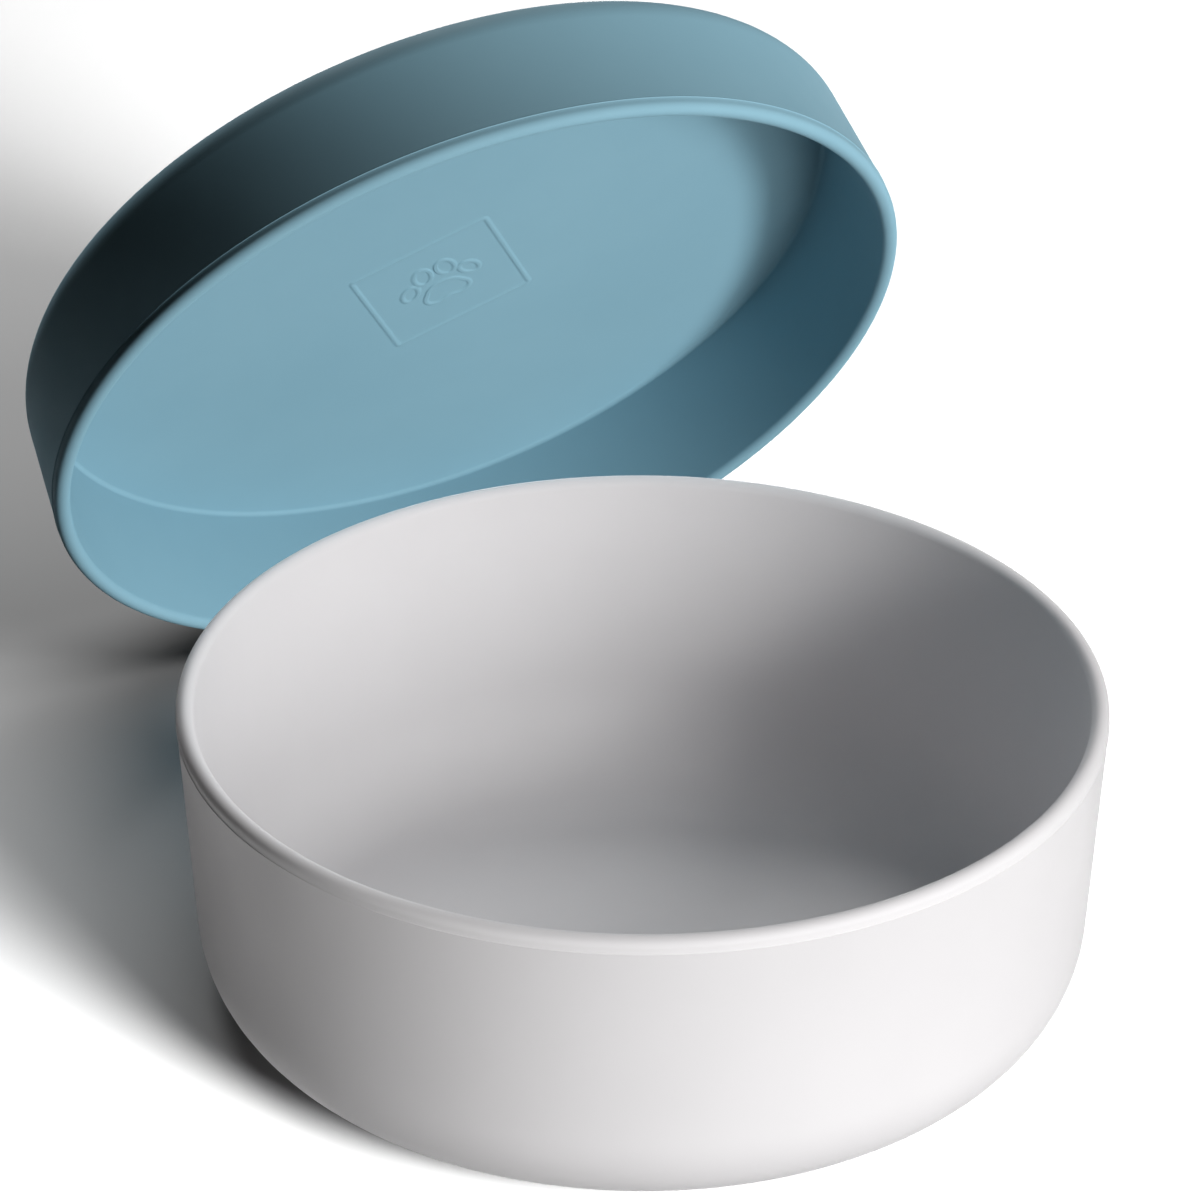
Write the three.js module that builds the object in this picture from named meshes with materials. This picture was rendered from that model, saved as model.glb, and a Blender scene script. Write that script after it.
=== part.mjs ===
// Silicone pet bowl and the wider, shallow lid that slips over its rim.
// Millimetres, +Z up. The origin is the centre of the bowl's underside.
// The lid is taken off: it stands on its rim behind the bowl and leans over it.

import * as THREE from 'three';

// The bowl
const BOWL_RIM_RADIUS = 77.5;
const BOWL_HEIGHT = 57;
const BOWL_WALL = 3;
const BOWL_CORNER_RADIUS = 18;
const BOWL_DRAFT_DEGREES = 3.2;

// The lid, sized by the bowl's rim that it slips over
const LID_CLEARANCE = 0.3;
const LID_WALL = 3;
const LID_DEPTH = 28.5;
const LID_CORNER_RADIUS = 7.5;
const LID_DRAFT_DEGREES = 4;
const LID_RIM_RADIUS = BOWL_RIM_RADIUS + LID_CLEARANCE + LID_WALL;

// Where the lid stands: its mouth's centre, seen from the bowl, and how it is turned and leant
const LID_BEHIND_RIM = 14;
const LID_ASIDE = 11;
const LID_TURN_DEGREES = 25;
const LID_LEAN_DEGREES = 31;

// Facets
const ROUND_SEGMENTS = 96;
const CORNER_STEPS = 8;
const RIM_STEPS = 8;

const GREY_SILICONE = { color: 0xd9d8d9, roughness: 0.55, metalness: 0 };
const BLUE_SILICONE = { color: 0x6f9fb6, roughness: 0.55, metalness: 0 };

function arcPoints(centre, radius, fromAngle, toAngle, steps) {
  const clockwise = toAngle < fromAngle;
  const arc = new THREE.EllipseCurve(centre.x, centre.y, radius, radius, fromAngle, toAngle, clockwise);
  return arc.getPoints(steps);
}

// Half section of a moulded dish: x is the distance from the axis, y the height above its underside.
// The wall is even. It leans out by the draft angle, and ends in a full-round rim.
function dishOutline({ rimRadius, height, wall, cornerRadius, draftDegrees }) {
  const draft = THREE.MathUtils.degToRad(draftDegrees);
  const rimRounding = wall / 2;
  const rimCentre = new THREE.Vector2(rimRadius - rimRounding, height - rimRounding);
  const cornerDrop = rimCentre.y - cornerRadius;
  const cornerX = rimCentre.x - (cornerRadius - rimRounding + cornerDrop * Math.sin(draft)) / Math.cos(draft);
  const cornerCentre = new THREE.Vector2(cornerX, cornerRadius);
  const downwards = -Math.PI / 2;
  const outwards = -draft;
  const inwards = Math.PI - draft;
  return [
    new THREE.Vector2(0, 0),
    ...arcPoints(cornerCentre, cornerRadius, downwards, outwards, CORNER_STEPS),
    ...arcPoints(rimCentre, rimRounding, outwards, inwards, RIM_STEPS),
    ...arcPoints(cornerCentre, cornerRadius - wall, outwards, downwards, CORNER_STEPS),
    new THREE.Vector2(0, wall),
  ];
}

// A dish standing on its underside, turned about +Z
function makeDish(name, sizes, finish) {
  const geometry = new THREE.LatheGeometry(dishOutline(sizes), ROUND_SEGMENTS);
  const mesh = new THREE.Mesh(geometry, new THREE.MeshStandardMaterial(finish));
  mesh.name = name;
  mesh.rotation.x = Math.PI / 2;
  return mesh;
}

function makeBowl() {
  const sizes = {
    rimRadius: BOWL_RIM_RADIUS,
    height: BOWL_HEIGHT,
    wall: BOWL_WALL,
    cornerRadius: BOWL_CORNER_RADIUS,
    draftDegrees: BOWL_DRAFT_DEGREES,
  };
  return makeDish('bowl', sizes, GREY_SILICONE);
}

// Height of the mouth's centre at which the leaning lid's rounded rim just touches the ground
function lidMouthHeight(lean) {
  const rimRounding = LID_WALL / 2;
  const reachDown = (LID_RIM_RADIUS - rimRounding) * Math.cos(lean);
  return reachDown + rimRounding - rimRounding * Math.sin(lean);
}

// The lid inside two turned frames, so that its mouth faces the bowl and tips towards the ground
function makeStandingLid() {
  const sizes = {
    rimRadius: LID_RIM_RADIUS,
    height: LID_DEPTH,
    wall: LID_WALL,
    cornerRadius: LID_CORNER_RADIUS,
    draftDegrees: LID_DRAFT_DEGREES,
  };
  const lean = THREE.MathUtils.degToRad(LID_LEAN_DEGREES);
  const lid = makeDish('lid', sizes, BLUE_SILICONE);
  lid.position.z = -LID_DEPTH;

  const mouthFrame = new THREE.Group();
  mouthFrame.position.set(LID_ASIDE, BOWL_RIM_RADIUS + LID_BEHIND_RIM, lidMouthHeight(lean));
  mouthFrame.rotation.x = Math.PI / 2 + lean;
  mouthFrame.add(lid);

  const turnedFrame = new THREE.Group();
  turnedFrame.rotation.z = THREE.MathUtils.degToRad(LID_TURN_DEGREES);
  turnedFrame.add(mouthFrame);
  return turnedFrame;
}

const petBowl = new THREE.Group();
petBowl.add(makeBowl(), makeStandingLid());

export default petBowl;
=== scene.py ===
import math

import bpy
import numpy as np
from mathutils import Matrix, Vector


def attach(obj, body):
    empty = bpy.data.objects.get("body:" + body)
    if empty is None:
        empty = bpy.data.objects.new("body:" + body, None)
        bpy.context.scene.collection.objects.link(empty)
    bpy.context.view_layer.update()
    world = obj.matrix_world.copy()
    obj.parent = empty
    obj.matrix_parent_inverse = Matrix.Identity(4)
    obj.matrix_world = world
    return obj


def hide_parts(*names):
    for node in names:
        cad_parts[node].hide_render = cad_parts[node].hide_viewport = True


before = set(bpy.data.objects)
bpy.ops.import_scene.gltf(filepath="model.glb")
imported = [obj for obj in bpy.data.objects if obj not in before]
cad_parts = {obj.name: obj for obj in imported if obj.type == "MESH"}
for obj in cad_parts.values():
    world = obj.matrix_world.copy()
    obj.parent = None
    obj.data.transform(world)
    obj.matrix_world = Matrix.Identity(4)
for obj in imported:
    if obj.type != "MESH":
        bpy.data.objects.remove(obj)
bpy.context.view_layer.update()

MM = 0.001

# Keeps a division from being by nothing
TINY = 1e-9

# The bowl, as in the solids
BOWL = dict(
    rim_radius=77.5,
    height=57.0,
    wall=3.0,
    corner_radius=18.0,
    inner_radius=15.0,
    draft_degrees=3.2,
)

# The lid, as in the solids but for the corner between its floor and wall, which is tighter here
LID_WALL = 3.0
LID_CLEARANCE = 0.3
LID_RIM_RADIUS = BOWL["rim_radius"] + LID_CLEARANCE + LID_WALL
LID = dict(
    rim_radius=LID_RIM_RADIUS,
    height=28.5,
    wall=LID_WALL,
    corner_radius=7.5,
    inner_radius=0.9,
    draft_degrees=4.0,
)

# Where the lid stands: its mouth's centre, seen from the bowl, and how it is turned and leant
LID_ASIDE = 11.0
LID_BEHIND_RIM = 14.0
LID_TURN = math.radians(25)
LID_LEAN = math.radians(31)

# Facets round the axis and along an arc, and how close a supporting ring lies to a bend, in mm
SEGMENTS = 512
ARC_STEP_DEGREES = 6.5
ARC_STEPS_LEAST = 6
SUPPORT = 0.25

# The mould's parting line round the outside of each rim: a hairline ridge, in mm
PARTING_BELOW_TOP = 2.6
PARTING_HALF_WIDTH = 0.14
PARTING_HEIGHT = 0.1
PARTING_STEPS = 4

# The raised mark on the lid's floor, in mm: a plain square frame round a plain paw
MARK_REACH = 23.0
MARK_STEP = 0.2
MARK_TURN = math.radians(30)
MARK_PLACE = (1.4, -2.6)
MARK_HEIGHT = 0.22
MARK_LINE_HALF = 0.42
MARK_LINE_EDGE = 0.16
MARK_FRAME = (13.6, 14.0)
MARK_FRAME_ROUNDING = 0.6

# The paw's ovals in mm: how far aside and up each centre lies, the two radii, and the turn in radians.
# All but the pad lie once at either side, and the two lobes blend into the pad.
PAD = (0.0, -2.6, 3.6, 2.9, 0.0)
LOBE = (2.5, -4.2, 2.0, 1.7, 0.5)
OUTER_TOE = (6.0, 0.9, 1.55, 2.3, 0.45)
INNER_TOE = (2.3, 4.6, 1.65, 2.6, 0.12)
LOBE_BLEND = 1.2


def arc(centre, radius, start, end):
    """Points along an arc from one angle to another."""
    steps = max(ARC_STEPS_LEAST, int(abs(end - start) / math.radians(ARC_STEP_DEGREES)) + 1)
    angles = np.linspace(start, end, steps + 1)
    return [(centre[0] + radius * math.cos(a), centre[1] + radius * math.sin(a)) for a in angles]


def corner_centre(rim, draft, offset, level, radius):
    """Centre of the arc that joins the flat at a level to one side of the wall.

    The offset is how far that side lies from the centre of the rim's rounding.
    """
    height = level + radius
    reach = offset - radius - (rim[1] - height) * math.sin(draft)
    return (rim[0] + reach / math.cos(draft), height)


def dish_outline(rim_radius, height, wall, corner_radius, inner_radius, draft_degrees):
    """Half section from the flat underside round the rim to the flat floor, in mm."""
    draft = math.radians(draft_degrees)
    rounding = wall / 2
    rim = (rim_radius - rounding, height - rounding)
    down, out, inward = -math.pi / 2, -draft, math.pi - draft
    outer_centre = corner_centre(rim, draft, rounding, 0.0, corner_radius)
    inner_centre = corner_centre(rim, draft, -rounding, wall, inner_radius)
    outer_corner = arc(outer_centre, corner_radius, down, out)
    rim_arc = arc(rim, rounding, out, inward)
    inner_corner = arc(inner_centre, inner_radius, out, down)
    wall_line = parting_line(outer_corner[-1], rim_arc[0], height, draft)
    inner_line = supported(rim_arc[-1], inner_corner[0])
    floor_line = [(inner_corner[-1][0] - SUPPORT, wall)]
    foot_line = [(outer_corner[0][0] - SUPPORT, 0.0)]
    return foot_line + outer_corner + wall_line + rim_arc + inner_line + inner_corner + floor_line


def supported(start, end):
    """Two points close to the ends of a straight stretch, which keep its shading flat."""
    length = math.dist(start, end)
    share = SUPPORT / length
    return [lerp(start, end, share), lerp(start, end, 1 - share)]


def lerp(start, end, share):
    """The point at a share of the way from start to end."""
    return (start[0] + (end[0] - start[0]) * share, start[1] + (end[1] - start[1]) * share)


def parting_line(start, end, height, draft):
    """The outer wall between corner and rim, with a rounded hairline ridge near its top."""
    first, last = supported(start, end)
    middle = height - PARTING_BELOW_TOP
    points = [first]
    for step in range(-PARTING_STEPS, PARTING_STEPS + 1):
        across = step / PARTING_STEPS
        level = middle + across * PARTING_HALF_WIDTH
        x, z = lerp(start, end, (level - start[1]) / (end[1] - start[1]))
        rise = PARTING_HEIGHT * (1 + math.cos(math.pi * across)) / 2
        points.append((x + rise * math.cos(draft), z))
    points.append(last)
    return points


def rounded_box(x, y, half, rounding):
    """Signed distance to a square outline with rounded corners."""
    dx = np.abs(x) - half[0] + rounding
    dy = np.abs(y) - half[1] + rounding
    outside = np.hypot(np.maximum(dx, 0), np.maximum(dy, 0))
    return outside + np.minimum(np.maximum(dx, dy), 0) - rounding


def oval(x, y, shape, side):
    """Near enough the signed distance to a turned ellipse at one side, 1 or -1."""
    aside, up, across, along, turn = shape
    c, s = math.cos(side * turn), math.sin(side * turn)
    u = (x - side * aside) * c + (y - up) * s
    v = (y - up) * c - (x - side * aside) * s
    first = np.hypot(u / across, v / along)
    second = np.hypot(u / across**2, v / along**2) + TINY
    return first * (first - 1) / second


def smooth_union(a, b, blend):
    """Distance to two shapes joined with a soft hollow between them."""
    h = np.clip(0.5 + 0.5 * (b - a) / blend, 0, 1)
    return b + (a - b) * h - blend * h * (1 - h)


def mark_height(x, y):
    """Height of the raised lines over the lid's floor, in mm."""
    c, s = math.cos(MARK_TURN), math.sin(MARK_TURN)
    x = x - MARK_PLACE[0]
    y = y - MARK_PLACE[1]
    u = x * c + y * s
    v = y * c - x * s
    lines = [np.abs(rounded_box(u, v, MARK_FRAME, MARK_FRAME_ROUNDING))]
    pad = oval(u, v, PAD, 1)
    for side in (-1, 1):
        pad = smooth_union(pad, oval(u, v, LOBE, side), LOBE_BLEND)
        lines.append(np.abs(oval(u, v, OUTER_TOE, side)))
        lines.append(np.abs(oval(u, v, INNER_TOE, side)))
    lines.append(np.abs(pad))
    distance = np.minimum.reduce(lines)
    fall = np.clip((distance - MARK_LINE_HALF + MARK_LINE_EDGE) / (2 * MARK_LINE_EDGE), 0, 1)
    return MARK_HEIGHT * (1 - fall * fall * (3 - 2 * fall))


def turned_mesh(name, outline, closing_height, marked):
    """A body of revolution about +Z, given in mm, that stands on its underside.

    Both flat middles are closed, and the upper one carries the mark if the body is marked.
    """
    angles = np.arange(SEGMENTS) * 2 * math.pi / SEGMENTS
    cosines, sines = np.cos(angles), np.sin(angles)
    rings = [(r, z, False) for r, z in outline]
    if marked:
        radii = np.arange(MARK_REACH, MARK_STEP / 2, -MARK_STEP)
        rings += [(r, closing_height, True) for r in radii]
    blocks = []
    for r, z, raised in rings:
        x, y = r * cosines, r * sines
        level = z + mark_height(x, y) if raised else np.full(SEGMENTS, z)
        blocks.append(np.stack([x, y, level], 1))
    centre_rise = mark_height(np.zeros(1), np.zeros(1))[0] if marked else 0.0
    ends = np.array([[0, 0, 0], [0, 0, closing_height + centre_rise]])
    points = np.concatenate(blocks + [ends])
    count = len(rings)
    under, over = count * SEGMENTS, count * SEGMENTS + 1
    faces = []
    for i in range(count - 1):
        low, high = i * SEGMENTS, (i + 1) * SEGMENTS
        for j in range(SEGMENTS):
            k = (j + 1) % SEGMENTS
            faces.append((low + j, low + k, high + k, high + j))
    last = (count - 1) * SEGMENTS
    for j in range(SEGMENTS):
        k = (j + 1) % SEGMENTS
        faces.append((under, k, j))
        faces.append((over, last + j, last + k))
    mesh = bpy.data.meshes.new(name)
    mesh.from_pydata((points * MM).tolist(), [], faces)
    mesh.validate()
    mesh.shade_smooth()
    return mesh


def lid_placement():
    """From the lid lying on its underside to where it stands, leaning over the bowl."""
    rounding = LID_WALL / 2
    height = (LID_RIM_RADIUS - rounding) * math.cos(LID_LEAN) + rounding * (1 - math.sin(LID_LEAN))
    turned = Matrix.Rotation(LID_TURN, 4, "Z")
    place = (LID_ASIDE * MM, (BOWL["rim_radius"] + LID_BEHIND_RIM) * MM, height * MM)
    moved = Matrix.Translation(Vector(place))
    leaning = Matrix.Rotation(math.pi / 2 + LID_LEAN, 4, "X")
    return turned @ moved @ leaning @ Matrix.Translation(Vector((0, 0, -LID["height"] * MM)))


# The silicone's unevenness in colour, gloss and height: repeats per metre, and detail
MOTTLE = (28, 3)
GLOSS = (65, 4)
WAVES = (110, 2)
GRAIN = (5200, 2)
NOISE_ROUGHNESS = 0.55
NOISE_RANGE = (0.3, 0.7)

# Height in metres and strength of the waves and the grain
WAVES_HEIGHT, WAVES_STRENGTH = 0.00006, 0.25
GRAIN_HEIGHT, GRAIN_STRENGTH = 0.000012, 0.35

SILICONE_IOR = 1.42
ROUGHNESS_RANGE = (0.55, 0.65)
BLOOM_ROUGHNESS = 0.8


def silicone(name, colour, deep_colour, shine, bloom):
    """Satin moulded silicone: a fine blasted grain, a soft waviness and slightly uneven gloss."""
    material = bpy.data.materials.new(name)
    material.use_nodes = True
    tree = material.node_tree
    nodes, links = tree.nodes, tree.links
    shader = nodes["Principled BSDF"]
    shader.inputs["IOR"].default_value = SILICONE_IOR
    shader.inputs["Specular IOR Level"].default_value = shine
    shader.inputs["Sheen Weight"].default_value = bloom
    shader.inputs["Sheen Roughness"].default_value = BLOOM_ROUGHNESS
    place = nodes.new("ShaderNodeTexCoord")

    def noise(unevenness):
        scale, detail = unevenness
        node = nodes.new("ShaderNodeTexNoise")
        node.inputs["Scale"].default_value = scale
        node.inputs["Detail"].default_value = detail
        node.inputs["Roughness"].default_value = NOISE_ROUGHNESS
        links.new(place.outputs["Object"], node.inputs["Vector"])
        return node.outputs["Fac"]

    def spread(value, low, high):
        node = nodes.new("ShaderNodeMapRange")
        node.inputs["From Min"].default_value = NOISE_RANGE[0]
        node.inputs["From Max"].default_value = NOISE_RANGE[1]
        node.inputs["To Min"].default_value = low
        node.inputs["To Max"].default_value = high
        links.new(value, node.inputs["Value"])
        return node.outputs["Result"]

    def bump(height, distance, strength, normal=None):
        node = nodes.new("ShaderNodeBump")
        node.inputs["Strength"].default_value = strength
        node.inputs["Distance"].default_value = distance
        links.new(height, node.inputs["Height"])
        if normal:
            links.new(normal, node.inputs["Normal"])
        return node.outputs["Normal"]

    mottle = nodes.new("ShaderNodeMix")
    mottle.data_type = "RGBA"
    mottle.inputs["A"].default_value = (*deep_colour, 1)
    mottle.inputs["B"].default_value = (*colour, 1)
    links.new(spread(noise(MOTTLE), 0, 1), mottle.inputs["Factor"])
    links.new(mottle.outputs["Result"], shader.inputs["Base Color"])
    links.new(spread(noise(GLOSS), *ROUGHNESS_RANGE), shader.inputs["Roughness"])
    waves = bump(noise(WAVES), WAVES_HEIGHT, WAVES_STRENGTH)
    grain = bump(noise(GRAIN), GRAIN_HEIGHT, GRAIN_STRENGTH, waves)
    links.new(grain, shader.inputs["Normal"])
    return material


def add_piece(name, mesh, material, body, node):
    """Put a piece into the scene, on its body and in place of its solid."""
    piece = bpy.data.objects.new(name, mesh)
    bpy.context.scene.collection.objects.link(piece)
    mesh.materials.append(material)
    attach(piece, body)
    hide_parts(node)
    return piece


# Colour, colour of the deeper mottling, shine and bloom of each silicone
GREY = silicone("bowl_silicone", (0.700, 0.686, 0.693), (0.680, 0.666, 0.673), 0.22, 0.02)
BLUE = silicone("lid_silicone", (0.197, 0.348, 0.420), (0.186, 0.334, 0.406), 0.06, 0.0)

bowl_mesh = turned_mesh("bowl_shell", dish_outline(**BOWL), BOWL["wall"], False)
bowl_piece = add_piece("bowl_shell", bowl_mesh, GREY, "bowl", "bowl")

lid_mesh = turned_mesh("lid_shell", dish_outline(**LID), LID["wall"], True)
lid_mesh.transform(lid_placement())
lid_piece = add_piece("lid_shell", lid_mesh, BLUE, "lid", "lid")


def camera_rays(nodes, links):
    """1 where the camera or a mirror-like bounce looks, 0 for soft light."""
    path = nodes.new("ShaderNodeLightPath")
    total = path.outputs["Is Camera Ray"]
    for ray in ("Is Glossy Ray", "Is Transmission Ray"):
        add = nodes.new("ShaderNodeMath")
        add.operation = "ADD"
        add.use_clamp = True
        links.new(total, add.inputs[0])
        links.new(path.outputs[ray], add.inputs[1])
        total = add.outputs["Value"]
    return total


# The floor's half width and how far it lies under the bowl, in metres
FLOOR_HALF = 3.0
FLOOR_DROP = 0.00005

# How bright the floor and the room are where they are seen, and where they light the pieces
FLOOR_SEEN = 0.3
FLOOR_BOUNCE = 0.003
ROOM_SEEN = 1.0
ROOM_FILL = 0.003


def floor_material():
    """Matt floor that throws little light back on the pieces."""
    material = bpy.data.materials.new("studio_floor")
    material.use_nodes = True
    nodes, links = material.node_tree.nodes, material.node_tree.links
    nodes.remove(nodes["Principled BSDF"])
    surface = nodes.new("ShaderNodeBsdfDiffuse")
    colour = nodes.new("ShaderNodeMix")
    colour.data_type = "RGBA"
    colour.inputs["A"].default_value = (FLOOR_BOUNCE, FLOOR_BOUNCE, FLOOR_BOUNCE, 1)
    colour.inputs["B"].default_value = (FLOOR_SEEN, FLOOR_SEEN, FLOOR_SEEN, 1)
    links.new(camera_rays(nodes, links), colour.inputs["Factor"])
    links.new(colour.outputs["Result"], surface.inputs["Color"])
    links.new(surface.outputs["BSDF"], nodes["Material Output"].inputs["Surface"])
    return material


def make_floor():
    mesh = bpy.data.meshes.new("studio_floor")
    signs = ((-1, -1), (1, -1), (1, 1), (-1, 1))
    corners = [(x * FLOOR_HALF, y * FLOOR_HALF, -FLOOR_DROP) for x, y in signs]
    mesh.from_pydata(corners, [], [(0, 1, 2, 3)])
    mesh.materials.append(floor_material())
    floor = bpy.data.objects.new("studio_floor", mesh)
    bpy.context.scene.collection.objects.link(floor)
    return floor


def make_world():
    """A room that is white where it is seen and gives hardly any light."""
    world = bpy.data.worlds.new("studio")
    bpy.context.scene.world = world
    world.use_nodes = True
    nodes, links = world.node_tree.nodes, world.node_tree.links
    nodes.clear()
    output = nodes.new("ShaderNodeOutputWorld")
    mix = nodes.new("ShaderNodeMixShader")
    for strength, socket in ((ROOM_FILL, mix.inputs[1]), (ROOM_SEEN, mix.inputs[2])):
        background = nodes.new("ShaderNodeBackground")
        background.inputs["Strength"].default_value = strength
        background.inputs["Color"].default_value = (1, 1, 1, 1)
        links.new(background.outputs["Background"], socket)
    links.new(camera_rays(nodes, links), mix.inputs["Fac"])
    links.new(mix.outputs["Shader"], output.inputs["Surface"])


# Soft round lamps in sets. Each set lights one thing only: the bowl, the lid or the floor.
# The lid alone casts shadows from the lid's set, and the bowl alone from the bowl's second set.
# What the lamps aim at, in metres
BOWL_AIM = (-0.01, 0.03, 0.05)
LID_AIM = (-0.034, 0.098, 0.076)
FLOOR_AIM = (-0.03, 0.03, 0.0)

# Name, azimuth and elevation in degrees, distance and size in metres, power in watts
BOWL_LAMPS = (
    ("bowl_key", -50, 12, 1.3, 0.5, 9.2),
    ("bowl_upper", -53, 20, 1.3, 0.5, 2.8),
    ("bowl_high", -38, 28, 1.3, 0.3, 5.2),
    ("bowl_above", -20, 60, 1.3, 0.5, 1.3),
    ("bowl_left", 180, -10, 1.3, 0.5, 4),
)
BOWL_OUTSIDE_LAMPS = (
    ("bowl_low", -83, -23, 1.3, 0.5, 5.8),
    ("bowl_behind", 90, 0, 1.3, 0.5, 6),
    ("bowl_top", 90, 48, 1.3, 0.5, 5.6),
)
LID_LAMPS = (
    ("lid_key", -40, 0, 1.3, 0.25, 8.9),
    ("lid_upper", -46, 12, 1.3, 0.25, 6.4),
    ("lid_low", -50, -10, 1.3, 0.5, 6.5),
    ("lid_above", 0, 36, 1.3, 0.5, 6.3),
    ("lid_back", 105, 31, 1.3, 0.5, 8),
)
FLOOR_LAMPS = (
    ("floor_key", -50, 20, 2.5, 1.0, 302),
    ("floor_low", -50, 14, 2.5, 0.5, 218),
    ("floor_sharp", -45, 20, 2.5, 0.3, 72),
    ("floor_upper", -50, 30, 2.5, 1.0, 94),
    ("floor_steep", -50, 50, 2.5, 1.0, 36),
    ("floor_above", 0, 89, 2.5, 2.0, 51),
)


def only(piece):
    """A collection of one piece, for lamps that light or are blocked by that piece alone."""
    group = bpy.data.collections.new("only_" + piece.name)
    group.objects.link(piece)
    return group


def make_lamps(lamps, target, receivers, blockers=None):
    """Lamps that light the receivers. Without blockers, all pieces cast shadows from them."""
    for name, azimuth, elevation, distance, size, power in lamps:
        light = bpy.data.lights.new(name, "AREA")
        light.shape = "DISK"
        light.size = size
        light.energy = power
        lamp = bpy.data.objects.new(name, light)
        a, e = math.radians(azimuth), math.radians(elevation)
        away = Vector((math.cos(a) * math.cos(e), math.sin(a) * math.cos(e), math.sin(e)))
        lamp.location = Vector(target) + away * distance
        lamp.rotation_euler = away.to_track_quat("Z", "Y").to_euler()
        lamp.light_linking.receiver_collection = receivers
        lamp.light_linking.blocker_collection = blockers
        bpy.context.scene.collection.objects.link(lamp)


# Place in metres, sensor and lens in millimetres
CAMERA_PLACE = (0.0, -0.720641, 0.472279)
CAMERA_TURN_DEGREES = (61.05036, 0.0, 0.560276)
SENSOR_WIDTH = 36.0
LENS = 150.0
CLIP_START = 0.01


def make_camera():
    data = bpy.data.cameras.new("camera")
    data.sensor_width = SENSOR_WIDTH
    data.lens = LENS
    data.clip_start = CLIP_START
    camera = bpy.data.objects.new("camera", data)
    camera.location = CAMERA_PLACE
    camera.rotation_euler = [math.radians(a) for a in CAMERA_TURN_DEGREES]
    bpy.context.scene.collection.objects.link(camera)
    bpy.context.scene.camera = camera


floor_only = only(make_floor())
bowl_only = only(bowl_piece)
lid_only = only(lid_piece)
make_lamps(BOWL_LAMPS, BOWL_AIM, bowl_only)
make_lamps(BOWL_OUTSIDE_LAMPS, BOWL_AIM, bowl_only, bowl_only)
make_lamps(LID_LAMPS, LID_AIM, lid_only, lid_only)
make_lamps(FLOOR_LAMPS, FLOOR_AIM, floor_only)
make_world()
make_camera()
bpy.context.scene.view_settings.view_transform = "Standard"
